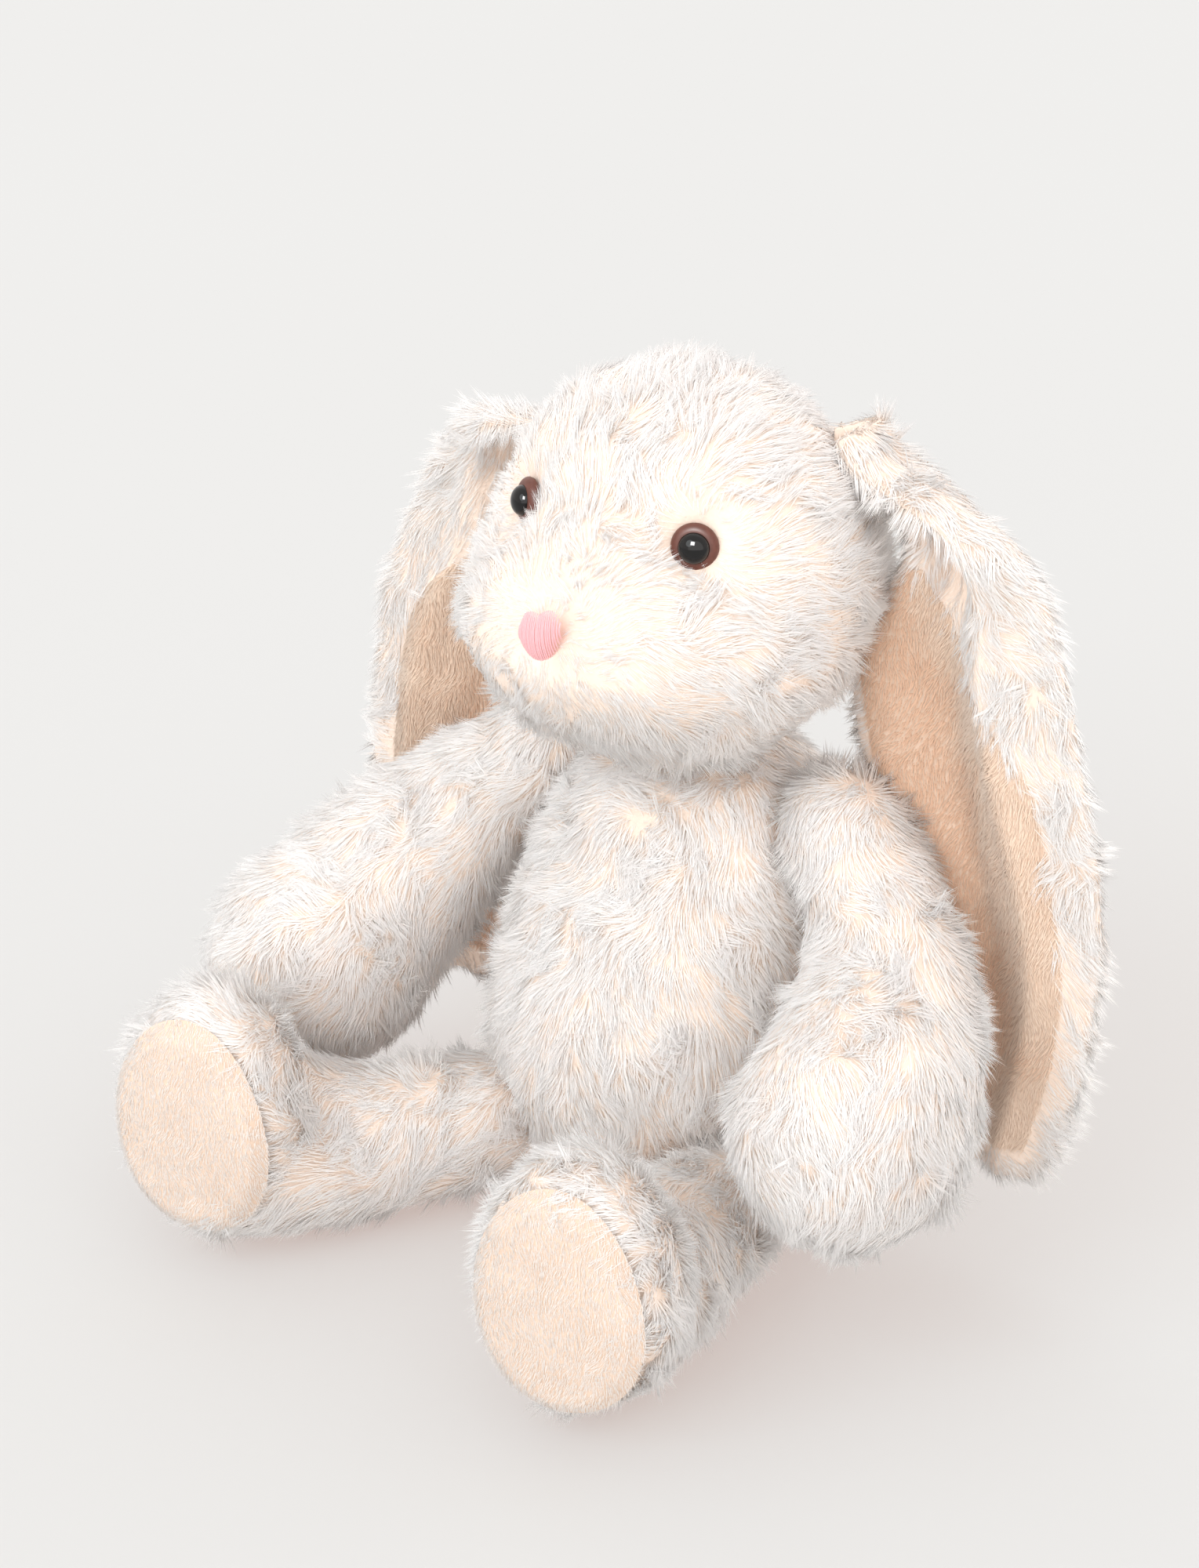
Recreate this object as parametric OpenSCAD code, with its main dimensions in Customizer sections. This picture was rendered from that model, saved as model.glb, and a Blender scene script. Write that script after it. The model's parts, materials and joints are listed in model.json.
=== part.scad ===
// Sitting plush rabbit with long hanging ears: sewn skins, stuffing, safety eyes and seams.
// +Z is up, the face looks along -Y and the rabbit's left side is +X.
// The origin is the middle of the flat seat, on the surface that the toy sits on.

/* [Sewing] */
// Thickness of the plush backing cloth
skin_t = 1.4; // [1:0.1:2.2]
// Air left between a skin and the stuffing inside it
fill_gap = 0.4; // [0.3:0.1:1]
// Running clearance between two parts that are sewn together and swing
joint_gap = 0.7; // [0.5:0.1:1.5]
// Diameter of the sewing thread
thread_d = 1; // [0.6:0.1:1.4]
// Diameter of the opening left in each skin at its joint, through which it is stuffed
stuffing_hole_d = 9; // [6:0.5:11]

/* [Body] */
// Width of the belly
belly_w = 94; // [74:1:114]
// Depth of the belly, front to back
belly_d = 92; // [72:1:112]
// Height from the seat to the top of the chest
body_h = 129; // [108:1:155]
// Width of the chest
chest_w = 82; // [66:1:98]
// Depth of the chest, front to back
chest_d = 70; // [56:1:84]
// Diameter of the neck stub that the head sits on
neck_d = 40; // [32:1:48]
// Diameter of the flat that the seat rests on
seat_flat_d = 40; // [30:1:48]

/* [Head] */
// Width of the head across the cheeks
head_w = 102; // [82:1:122]
// Depth of the skull, front to back
skull_d = 80; // [66:1:96]
// Height of the head from chin to crown
head_h = 97; // [80:1:116]
// Width of the muzzle
muzzle_w = 58; // [46:1:70]
// How far the muzzle stands in front of the skull
muzzle_reach = 18; // [14:1:22]
// Diameter of each eye
eye_d = 12; // [9:0.5:15]
// Distance between the two eyes, centre to centre
eye_spacing = 50; // [40:1:60]
// Width of the stitched nose
nose_w = 12; // [9:0.5:15]

/* [Ears] */
// Length of each ear along its middle
ear_len = 191; // [158:1:230]
// Greatest width of each ear
ear_w = 42; // [34:1:50]
// Thickness of each of the two layers of an ear
ear_layer_t = 3; // [2:0.1:4]

/* [Arms] */
// Diameter of an arm where it is sewn on
arm_d = 28; // [22:1:34]
// Distance from the shoulder to the middle of the paw
arm_len = 78; // [64:1:94]
// Width of a paw
paw_w = 38; // [30:1:44]
// How far forward the left arm lies, over the thigh
left_arm_swing = 10; // [0:1:20]
// How far the right arm stands out from the side
right_arm_spread = 4; // [0:1:12]

/* [Legs] */
// Diameter of a leg where it is sewn on
leg_d = 32; // [26:1:38]
// Distance from the hip to the middle of the foot
leg_len = 77; // [65:1:92]
// Width of a foot
foot_w = 50; // [42:1:60]
// Height of a foot
foot_h = 66; // [56:1:78]
// Width of a sole pad
sole_w = 42; // [35:1:50]
// Angle of the left leg away from straight ahead
left_splay = 12.5; // [6:0.5:26]
// Angle of the right leg away from straight ahead
right_splay = 27; // [14:0.5:32]
// Turn of both soles towards the rabbit's left
foot_turn = 12; // [0:1:16]

/* [Tail] */
// Diameter of the tail ball
tail_d = 26; // [20:1:32]

/* [Hidden] */
soft_fn = 16;
joint_fn = 28;
thread_fn = 16;
groove_fn = 6;
channel_fn = 18;
big = 400;
eps = 0.01;

// Body: a seat, a belly that hangs forward, a chest and a collar, from bottom to top
seat_c = [0, -4, 34 * sqrt(1 - pow(seat_flat_d / (belly_w - 6), 2))];
belly_c = [0, -9, 50];
chest_r = [chest_w / 2, chest_d / 2, 32];
chest_c = [0, 2, body_h - chest_r.z];
waist_c = [0, -3, (belly_c.z + chest_c.z) / 2 + 4];
body_knots = [
    [seat_c, [belly_w / 2 - 3, belly_d / 2 - 3, 34]],
    [belly_c, [belly_w / 2, belly_d / 2, 45]],
    [waist_c, [(belly_w + chest_w) / 4, (belly_d + chest_d) / 4, 34]],
    [chest_c, chest_r],
    [chest_c + [0, 2, 12], [chest_r.x - 9, chest_r.y - 7, 20]]
];

// Neck: a ball on the chest, sunk a little into the head
neck_r = neck_d / 2;
neck_rise = 6;
neck_sink = 3;
neck_c = [0, 2, body_h + neck_rise - neck_r];

// Head: skull, cheeks and muzzle
skull_r = [head_w / 2, skull_d / 2, head_h * 0.474];
jaw_r = [head_w / 2 - 2, skull_d / 2 + 2, head_h * 0.36];
jaw_c = [0, -17, neck_c.z + neck_r - neck_sink + jaw_r.z - 4];
skull_c = [0, -6, jaw_c.z - jaw_r.z + head_h - skull_r.z];
muzzle_r = [muzzle_w / 2, 22, 20];
muzzle_c = [0, skull_c.y - skull_r.y - muzzle_reach + muzzle_r.y, jaw_c.z];
head_knots = [
    [skull_c + [0, 4, 0], skull_r - [3, 0, 3]],
    [skull_c, skull_r],
    [jaw_c, jaw_r],
    [(jaw_c + muzzle_c) / 2 - [0, 3, 0], [(jaw_r.x + muzzle_r.x) / 2, 31, 26]],
    [muzzle_c, muzzle_r]
];

// Eyes: in shallow cups at the front of the skull, looking out to each side
eye_turn = 30;
eye_tilt = 8;
eye_flange_t = 2;
eye_shank_d = 4;
eye_shank_len = 11;
eye_washer_d = 14;
eye_washer_t = 1.6;
eye_slack = 0.1;
eye_up = 13;
eye_sink = 4;
eye_cup_d = eye_d + 3;
eye_c = [eye_spacing / 2, skull_c.y + front_y(skull_r, eye_spacing / 2, eye_up) + eye_sink, skull_c.z + eye_up];

// Nose: a pad of satin stitches on the muzzle
nose_t = 3;
nose_up = 9;
nose_tilt = 16;
nose_sink = 1.5;
nose_cup_d = nose_w + 5;
nose_c = [0, muzzle_c.y + front_y(muzzle_r, 0, nose_up) + nose_sink, muzzle_c.z + nose_up];

// Ears: flat, sewn to the crown, bowing outwards and hanging beside the arms
ear_k = ear_len / 191;
ear_gap = 0.2;
ear_path = [[0, 0, 0], [20, 1, -5], [34, 1, -20], [43, 0, -42], [49, 0, -66], [54, -1, -92], [56, -1, -118],
            [55, -1, -144], [51, -1, -166]];
ear_half = [0.29, 0.52, 0.7, 0.82, 0.9, 0.97, 1, 0.93, 0.74];
ear_root_r = ear_w / 2 * ear_half[0];
ear_x = head_w * 0.353;
ear_y = 12;
ear_root = [ear_x, ear_y, skull_c.z + top_z(skull_r, ear_x, ear_y - skull_c.y) + ear_root_r - 2];

// Arms: hanging at the sides with the paws brought forward
arm_r = arm_d / 2;
shoulder_z = chest_c.z + 16;
shoulder_sink = 6;
shoulder_c = [side_x(chest_r, shoulder_z - chest_c.z) + arm_r - shoulder_sink, 0, shoulder_z];
arm_k = arm_len / 72;
arm_knots = [
    [shoulder_c, arm_r * [1, 1, 1]],
    [shoulder_c + arm_k * [14, -4, -12], arm_r * 0.97 * [1, 1, 1]],
    [shoulder_c + arm_k * [26, -13, -28], [paw_w * 0.4, paw_w * 0.4, paw_w * 0.42]],
    [shoulder_c + arm_k * [33, -24, -42], [paw_w * 0.45, paw_w * 0.54, paw_w * 0.5]],
    [shoulder_c + arm_k * [36, -34, -52], [paw_w * 0.5, paw_w * 0.66, paw_w * 0.58]]
];
// The cone that the arm's upper end sweeps as it swings
armhole_r1 = arm_r * 0.76 + joint_gap;
armhole_r2 = arm_r * 1.6 + joint_gap;
armhole_x1 = -arm_r * 0.66;
armhole_h = arm_r;

// Legs: sewn to the front of the seat, flat out on the surface, soles up in front
leg_r = leg_d / 2;
hip_x = 36;
hip_z = leg_r + 6;
hip_sink = 7;
hip_c = [hip_x, seat_c.y + front_y(body_knots[0][1], hip_x, hip_z - seat_c.z) - leg_r + hip_sink, hip_z];
foot_r = [foot_w / 2, 22, foot_h / 2];
ankle_back = 15;
sole_t = 1.8;
foot_raise = 8;
sole_inset = 9.5;
sole_h = foot_h - 10;

// Seams: rings of thread at each joint and the closing seam of the back
thread_gap = 0.1;
seam_angle = 23;
neck_seam_r = neck_r * 0.86;
back_seam_len = 36;
back_seam_z = waist_c.z - 4;
back_y = waist_c.y + body_knots[2][1].y * cos(9) + 0.1;

// Tail
tail_r = tail_d / 2;
tail_c = [0, seat_c.y - front_y(body_knots[0][1], 0, 0) + tail_r - 4, seat_c.z];

// Bean bag in the seat
bag_r = [26, 24, 11];
bag_c = [0, -2, skin_t + fill_gap * 3 + bag_r.z];
hip_lift = 20;

// y of the front of an ellipsoid with radii r about its centre, at x and z from the centre
function front_y(r, x, z) = -r.y * sqrt(max(0, 1 - pow(x / r.x, 2) - pow(z / r.z, 2)));
// z of the top of an ellipsoid with radii r, at x and y from its centre
function top_z(r, x, y) = r.z * sqrt(max(0, 1 - pow(x / r.x, 2) - pow(y / r.y, 2)));
// x of the side of an ellipsoid with radii r, at z from its centre
function side_x(r, z) = r.x * sqrt(max(0, 1 - pow(z / r.z, 2)));
// The same knots with one more halfway between each two
function rounded(knots) = [for (i = [0:2 * len(knots) - 2]) let (j = floor(i / 2))
    i % 2 == 0 ? knots[j] : (knots[j] + knots[j + 1]) / 2];
// Direction in which a leg points, for a splay angle and a side
function leg_dir(splay, side) = [side * sin(splay), -cos(splay), 0];
// Middle of a hip on one side
function hip(side) = [side * hip_c.x, hip_c.y, hip_c.z];
// Middle of a foot
function foot_mid(splay, side) = let (h = hip(side), d = leg_dir(splay, side))
    [h.x + leg_len * d.x, h.y + leg_len * d.y, foot_r.z + foot_raise];
// Depth and radius of the thread ring that lies behind a rounded end of radius r
function seam_depth(r) = (r + joint_gap + 0.2) * cos(seam_angle);
function seam_ring(r) = (r + joint_gap + 0.2) * sin(seam_angle);
// Knots of a leg, from the hip to the heel
function leg_knots(splay, side) = let (h = hip(side), d = leg_dir(splay, side), f = foot_mid(splay, side)) [
    [h, leg_r * [1, 1, 1]],
    [h + 18 * d, leg_r * 1.1 * [1, 1, 1]],
    [h + (leg_len * 0.5) * d + [0, 0, 1], leg_r * 1.2 * [1, 1, 1]],
    [h + (leg_len - ankle_back) * d + [0, 0, 5], [leg_r * 1.2, leg_r * 1.1, leg_r * 1.5]],
    [f, [foot_r.x, foot_r.y, foot_r.z]]
];
// Knots of one layer of an ear: half width w times ear_w, half thickness t, moved by dy
function ear_knots(t, dy, trim) = [for (i = [0:len(ear_path) - 1])
    [ear_root + ear_k * ear_path[i] + [0, dy, 0],
     [ear_w / 2 * ear_half[i] - trim, t, ear_w / 2 * ear_half[i] - trim]]];

// One ellipsoid of a soft form, g smaller all round
module knot(k, g) {
    translate(k[0]) scale(k[1] - [g, g, g]) sphere(r = 1, $fn = soft_fn);
}

// A soft form: ellipsoids joined one to the next, g smaller all round
module chain(knots, g) {
    for (i = [0:len(knots) - 2]) hull() {
        knot(knots[i], g);
        knot(knots[i + 1], g);
    }
}

// Everything above height z
module above(z) {
    translate([-big / 2, -big / 2, z]) cube(big);
}

module on_side(side) {
    if (side > 0) children(); else mirror([1, 0, 0]) children();
}

// Room for an arm's rounded end and for its sweep, g larger all round
module armhole(g) {
    translate(shoulder_c) {
        sphere(r = arm_r + joint_gap + g, $fn = joint_fn);
        translate([armhole_x1 - g, 0, 0]) rotate([0, 90, 0])
            cylinder(h = armhole_h + 2 * g, r1 = armhole_r1 + g, r2 = armhole_r2 + g, $fn = joint_fn);
    }
}

// Room for a leg that is lifted, g larger all round
module hip_channel(side, g) {
    for (lift = [hip_lift * 0.4, hip_lift])
        translate(hip(side)) rotate([90 - lift, 0, side * (side > 0 ? left_splay : right_splay)])
            cylinder(h = leg_r * 2.4, r1 = leg_r + joint_gap + g, r2 = leg_r * 1.22 + joint_gap + 0.5 + g, $fn = channel_fn);
}

// The body, g inside its outer surface
module body_form(g) {
    difference() {
        intersection() {
            union() {
                chain(g > skin_t ? rounded(body_knots) : body_knots, g);
                translate(neck_c) sphere(r = neck_r - g, $fn = joint_fn);
            }
            above(g);
        }
        for (side = [-1, 1]) {
            on_side(side) armhole(g);
            translate(hip(side)) sphere(r = leg_r + joint_gap + g, $fn = joint_fn);
            hip_channel(side, g);
        }
        translate(tail_c) sphere(r = tail_r + joint_gap / 2 + g, $fn = joint_fn);
    }
}

// A ring of thread with ring radius r, lying across axis Z
module thread_ring(r) {
    rotate_extrude($fn = joint_fn) translate([r, 0]) circle(d = thread_d, $fn = thread_fn);
}

// The groove that such a ring lies in, clear of it all round though its own sides are flat
module thread_groove(r) {
    rotate_extrude($fn = joint_fn) translate([r * (1 + 1 / cos(180 / joint_fn)) / 2, 0])
        circle(d = (thread_d + 2 * thread_gap) / cos(180 / groove_fn), $fn = groove_fn);
}

// Ring of the neck seam, lying on the neck ball
module neck_seam_at() {
    translate(neck_c + [0, 0, sqrt(neck_r * neck_r - neck_seam_r * neck_seam_r)]) children();
}

// Rings of the shoulder and hip seams, lying on the skin behind each limb's rounded end
module shoulder_seam_at() {
    translate(shoulder_c - [seam_depth(arm_r), 0, 0]) rotate([0, 90, 0]) children();
}
module hip_seam_at(side) {
    translate(hip(side) + [0, seam_depth(leg_r), 0]) rotate([90, 0, 0]) children();
}

// Closing seam up the middle of the back, t larger
module back_seam_line(t) {
    translate([0, back_y, back_seam_z]) cylinder(h = back_seam_len + 2 * t, d = thread_d + 2 * t, $fn = 16, center = true);
}

// Stuffing openings: at the neck, shoulders and hips
module neck_opening() {
    translate(neck_c) cylinder(h = neck_r + joint_gap + 2 * skin_t, d = stuffing_hole_d, $fn = joint_fn);
}
module shoulder_opening() {
    translate(shoulder_c) rotate([0, -90, 0]) cylinder(h = arm_r, d = stuffing_hole_d, $fn = joint_fn);
}
module hip_opening(side) {
    translate(hip(side)) rotate([-90, 0, 0]) cylinder(h = leg_r, d = stuffing_hole_d, $fn = joint_fn);
}

module seam_grooves() {
    neck_seam_at() thread_groove(neck_seam_r);
    for (side = [-1, 1]) {
        on_side(side) shoulder_seam_at() thread_groove(seam_ring(arm_r));
        hip_seam_at(side) thread_groove(seam_ring(leg_r));
    }
    back_seam_line(thread_gap);
}

module body_skin() {
    color("seashell") difference() {
        body_form(0);
        body_form(skin_t);
        neck_opening();
        seam_grooves();
    }
}

module bean_bag() {
    color("wheat") knot([bag_c, bag_r], 0);
}

module body_filling() {
    color("white") difference() {
        body_form(skin_t + fill_gap);
        knot([bag_c, bag_r], -fill_gap - 0.8);
        translate([bag_c.x, bag_c.y, 0]) cylinder(h = bag_c.z, r = bag_r.y * 0.9, $fn = joint_fn);
    }
}

module neck_seam() {
    color("linen") neck_seam_at() thread_ring(neck_seam_r);
}

module shoulder_seam(side) {
    color("linen") on_side(side) shoulder_seam_at() thread_ring(seam_ring(arm_r));
}

module hip_seam(side) {
    color("linen") hip_seam_at(side) thread_ring(seam_ring(leg_r));
}

module back_seam() {
    color("linen") back_seam_line(0);
}

// The tail, a stuffed ball
module tail_skin() {
    color("white") translate(tail_c) difference() {
        sphere(r = tail_r);
        sphere(r = tail_r - skin_t);
    }
}

module tail_filling() {
    color("white") translate(tail_c) sphere(r = tail_r - skin_t - fill_gap);
}

// From an eye's own axes to its place on the head
module eye_at(side) {
    on_side(side) translate(eye_c) rotate([0, 0, eye_turn]) rotate([90 - eye_tilt, 0, 0]) children();
}

module nose_at() {
    translate(nose_c) rotate([90 - nose_tilt, 0, 0]) children();
}

// The head, g inside its outer surface
module head_form(g) {
    difference() {
        chain(head_knots, g);
        translate(neck_c) sphere(r = neck_r + joint_gap + g, $fn = joint_fn);
        for (side = [-1, 1]) {
            eye_at(side) translate([0, 0, -g]) cylinder(h = big, d = eye_cup_d + 2 * g, $fn = joint_fn);
            on_side(side) translate(ear_root) rotate([90, 0, 0])
                cylinder(h = 2 * (ear_layer_t + ear_gap + joint_gap + g), r = ear_root_r + joint_gap + g, $fn = joint_fn,
                         center = true);
        }
        nose_at() translate([0, 0, -g]) cylinder(h = big, d = nose_cup_d + 2 * g, $fn = joint_fn);
    }
}

module head_skin() {
    color("seashell") difference() {
        head_form(0);
        head_form(skin_t);
        neck_opening();
        for (side = [-1, 1]) eye_at(side)
            cylinder(h = 4 * skin_t, d = eye_shank_d + 2 * eye_slack, $fn = joint_fn, center = true);
    }
}

module head_filling() {
    washer_h = eye_washer_t + 2 * fill_gap;
    color("white") difference() {
        head_form(skin_t + fill_gap);
        for (side = [-1, 1]) eye_at(side) {
            translate([0, 0, -eye_shank_len - fill_gap])
                cylinder(h = eye_shank_len, d = eye_shank_d + 2 * fill_gap, $fn = joint_fn);
            translate([0, 0, -skin_t - washer_h]) cylinder(h = big, d = eye_washer_d + 2 * fill_gap, $fn = joint_fn);
        }
    }
}

// Brown rim of a safety eye, with the shank that goes through the skin
module eye_flange(side) {
    color("saddlebrown") eye_at(side) {
        cylinder(h = eye_flange_t / 2, d = eye_d);
        translate([0, 0, eye_flange_t / 2]) cylinder(h = eye_flange_t / 2, d1 = eye_d, d2 = eye_d * 0.8);
        translate([0, 0, -eye_shank_len]) cylinder(h = eye_shank_len + eps, d = eye_shank_d);
    }
}

// Black domed pupil, seated on the rim
module eye_pupil(side) {
    pupil_r = eye_d * 0.34;
    color("black") eye_at(side) translate([0, 0, eye_flange_t]) intersection() {
        sphere(r = pupil_r);
        cylinder(h = pupil_r, r = pupil_r);
    }
}

// Washer that locks the shank behind the skin
module eye_washer(side) {
    color("whitesmoke") eye_at(side) translate([0, 0, -skin_t - fill_gap - eye_washer_t]) difference() {
        cylinder(h = eye_washer_t, d = eye_washer_d);
        translate([0, 0, -1]) cylinder(h = eye_washer_t + 2, d = eye_shank_d + 2 * eye_slack);
    }
}

// Satin-stitched nose: a heart-shaped pad
module nose_stitching() {
    color("palevioletred") nose_at() linear_extrude(nose_t)
        polygon([for (t = [0:10:350]) nose_w / 32 *
            [16 * pow(sin(t), 3), 13 * cos(t) - 5 * cos(2 * t) - 2 * cos(3 * t) - cos(4 * t)]]);
}

// Plush back of an ear
module ear_back(side) {
    color("seashell") on_side(side) chain(ear_knots(ear_layer_t / 2, (ear_layer_t + ear_gap) / 2, 0), 0);
}

// Velour lining of an ear, facing forward
module ear_lining(side) {
    color("peachpuff") on_side(side) chain(ear_knots(ear_layer_t / 2, -(ear_layer_t + ear_gap) / 2, 1.5), 0);
}

// An arm in its place: the left one swings forward, the right one stands out
module arm_at(side) {
    on_side(side) translate(shoulder_c)
        rotate(side > 0 ? [-left_arm_swing, 0, 0] : [0, -right_arm_spread, 0])
        translate(-shoulder_c) children();
}

module arm_skin(side) {
    color("seashell") arm_at(side) difference() {
        chain(arm_knots, 0);
        chain(arm_knots, skin_t);
        shoulder_opening();
    }
}

module arm_filling(side) {
    color("white") arm_at(side) chain(arm_knots, skin_t + fill_gap);
}

// From a sole's own axes (outward is +Z, up is +Y) to its place on the foot
module sole_at(splay, side, g) {
    f = foot_mid(splay, side);
    translate(f) rotate([0, 0, foot_turn]) translate([0, -foot_r.y + sole_inset + g, 0]) rotate([90, 0, 0]) children();
}

// A leg, g inside its outer surface, with a flat at the front of the foot for the sole
module leg_form(splay, side, g) {
    difference() {
        intersection() {
            chain(leg_knots(splay, side), g);
            above(g);
        }
        sole_at(splay, side, g) translate([-big / 2, -big / 2, 0]) cube(big);
    }
}

module leg_skin(splay, side) {
    color("seashell") difference() {
        leg_form(splay, side, 0);
        leg_form(splay, side, skin_t);
        hip_opening(side);
    }
}

module leg_filling(splay, side) {
    color("white") leg_form(splay, side, skin_t + fill_gap);
}

// Egg-shaped velour sole, wider at the top
module foot_sole(splay, side) {
    color("peachpuff") sole_at(splay, side, 0) linear_extrude(sole_t) hull() {
        translate([0, (sole_h - sole_w) / 2]) circle(d = sole_w, $fn = joint_fn);
        translate([0, -(sole_h - sole_w * 0.8) / 2]) circle(d = sole_w * 0.8, $fn = joint_fn);
    }
}

body_skin();
body_filling();
bean_bag();
neck_seam();
back_seam();
shoulder_seam(1);  // left_shoulder_seam
shoulder_seam(-1);  // right_shoulder_seam
hip_seam(1);  // left_hip_seam
hip_seam(-1);  // right_hip_seam
tail_skin();
tail_filling();
head_skin();
head_filling();
nose_stitching();
eye_flange(1);  // left_eye_flange
eye_flange(-1);  // right_eye_flange
eye_pupil(1);  // left_eye_pupil
eye_pupil(-1);  // right_eye_pupil
eye_washer(1);  // left_eye_washer
eye_washer(-1);  // right_eye_washer
ear_back(1);  // left_ear_back
ear_back(-1);  // right_ear_back
ear_lining(1);  // left_ear_lining
ear_lining(-1);  // right_ear_lining
arm_skin(1);  // left_arm_skin
arm_skin(-1);  // right_arm_skin
arm_filling(1);  // left_arm_filling
arm_filling(-1);  // right_arm_filling
leg_skin(left_splay, 1);  // left_leg_skin
leg_skin(right_splay, -1);  // right_leg_skin
leg_filling(left_splay, 1);  // left_leg_filling
leg_filling(right_splay, -1);  // right_leg_filling
foot_sole(left_splay, 1);  // left_foot_sole
foot_sole(right_splay, -1);  // right_foot_sole
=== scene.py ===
"""Sitting plush rabbit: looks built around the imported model."""

import json
import math

import bmesh
import bpy
import numpy as np
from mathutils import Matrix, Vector
from mathutils.bvhtree import BVHTree


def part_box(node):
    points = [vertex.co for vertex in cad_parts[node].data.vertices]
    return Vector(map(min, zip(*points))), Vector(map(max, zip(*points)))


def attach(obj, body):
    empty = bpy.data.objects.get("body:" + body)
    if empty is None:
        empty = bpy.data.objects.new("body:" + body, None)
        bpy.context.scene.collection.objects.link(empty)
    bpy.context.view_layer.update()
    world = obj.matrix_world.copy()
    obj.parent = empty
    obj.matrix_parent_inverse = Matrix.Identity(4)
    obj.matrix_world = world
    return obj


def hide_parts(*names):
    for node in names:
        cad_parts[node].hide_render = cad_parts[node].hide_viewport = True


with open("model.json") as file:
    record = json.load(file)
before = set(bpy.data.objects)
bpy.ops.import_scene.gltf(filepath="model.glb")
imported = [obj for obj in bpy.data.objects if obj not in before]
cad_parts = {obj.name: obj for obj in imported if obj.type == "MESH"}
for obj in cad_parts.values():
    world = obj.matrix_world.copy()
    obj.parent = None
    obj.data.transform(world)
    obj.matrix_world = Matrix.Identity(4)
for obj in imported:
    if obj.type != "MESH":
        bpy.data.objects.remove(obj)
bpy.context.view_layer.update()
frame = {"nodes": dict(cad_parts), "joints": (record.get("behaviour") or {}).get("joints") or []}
MM = 0.001

bl_info = {
    "name": "Plush Rabbit",
    "version": (1, 0, 0),
    "blender": (4, 5, 0),
    "location": "View3D > Sidebar > Plush Rabbit",
    "description": "Builds a sitting plush rabbit with combed pile, velour linings, safety eyes and a stitched nose",
    "category": "Object",
}

SIDES = ("left", "right")


# ---------------------------------------------------------------- measures
def middle(node):
    """Middle of a node's box."""
    low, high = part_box(node)
    return (low + high) / 2


def node_points(node):
    """A node's corners as an array."""
    return np.array([v.co for v in frame["nodes"][node].data.vertices], float)


def unit(v):
    """Rows of v at length 1."""
    return v / np.maximum(np.linalg.norm(v, axis=-1, keepdims=True), 1e-9)


def smooth(t):
    """Soft step from 0 to 1."""
    t = np.clip(t, 0, 1)
    return t * t * (3 - 2 * t)


# ---------------------------------------------------------------- settings
def measure(name, text, value, low, high):
    """A length setting, given in millimetres."""
    return bpy.props.FloatProperty(
        name=name, description=text, default=value * MM, min=low * MM, max=high * MM, unit="LENGTH"
    )


def number(name, text, value, low, high):
    """A plain number setting."""
    return bpy.props.FloatProperty(name=name, description=text, default=value, min=low, max=high)


def colour(name, text, value):
    """A colour setting."""
    return bpy.props.FloatVectorProperty(
        name=name, description=text, default=value, size=3, min=0, max=1, subtype="COLOR"
    )


class PileSettings(bpy.types.PropertyGroup):
    """Length, thickness and lie of the long pile."""

    length: measure("Pile length", "Length of a strand on the body", 10.0, 2, 30)
    head_length: measure("Head pile length", "Length of a strand on the head", 9.0, 2, 30)
    width: measure("Strand width", "Width of a strand at its root", 0.4, 0.05, 2)
    tufts: number("Tufts", "Tufts on a square metre of cloth", 440000, 1000, 2000000)
    lift: number("Lift", "How far the pile stands up from the cloth", 1.05, 0, 3)
    swirl: number("Swirl", "How far the crushed pile turns from its lie", 2.2, 0, 4)
    swirl_size: measure("Swirl size", "Width of one crushed patch", 15, 2, 60)
    parting: number("Parting", "How far small locks part from each other", 1.1, 0, 4)


class VelourSettings(bpy.types.PropertyGroup):
    """Short nap of the linings and soles."""

    length: measure("Nap length", "Length of the nap", 2.3, 0.2, 6)
    width: measure("Nap width", "Width of a nap strand", 0.38, 0.05, 2)
    tufts: number("Nap strands", "Nap strands on a square metre", 2600000, 1000, 9000000)


class ColourSettings(bpy.types.PropertyGroup):
    """Colours of the cloths and trims."""

    tip: colour("Pile tips", "Colour of the pile at its tips", (0.985, 0.974, 0.965))
    root: colour("Pile roots", "Colour of the pile at its roots", (0.975, 0.82, 0.7))
    velour: colour("Velour", "Colour of the linings and soles", (0.93, 0.76, 0.62))
    nose: colour("Nose floss", "Colour of the nose stitching", (0.9, 0.49, 0.525))
    eye_rim: colour("Eye rim", "Colour of the eye's flange", (0.13, 0.042, 0.028))
    floor: colour("Floor", "Colour of the floor", (0.285, 0.365, 0.38))


class CameraSettings(bpy.types.PropertyGroup):
    """Where the camera stands."""

    azimuth: bpy.props.FloatProperty(
        name="Azimuth", description="Angle round the rabbit from its front", default=math.radians(39), subtype="ANGLE"
    )
    elevation: bpy.props.FloatProperty(
        name="Elevation", description="Angle above the floor", default=math.radians(24.6), subtype="ANGLE"
    )
    distance: bpy.props.FloatProperty(
        name="Distance", description="Distance to the rabbit", default=0.965, min=0.1, max=10, unit="LENGTH"
    )


def settings():
    """The settings kept on the scene."""
    return bpy.context.scene


# ---------------------------------------------------------------- materials
def new_material(name):
    """A material with its Principled shader and node tree."""
    material = bpy.data.materials.new(name)
    material.use_nodes = True
    tree = material.node_tree
    return material, tree, tree.nodes["Principled BSDF"]


def feed(tree, node, inputs):
    """Sets a node's inputs: a socket is linked, anything else is its value."""
    for key, value in inputs.items():
        if isinstance(value, bpy.types.NodeSocket):
            tree.links.new(value, node.inputs[key])
        else:
            node.inputs[key].default_value = value


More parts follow.
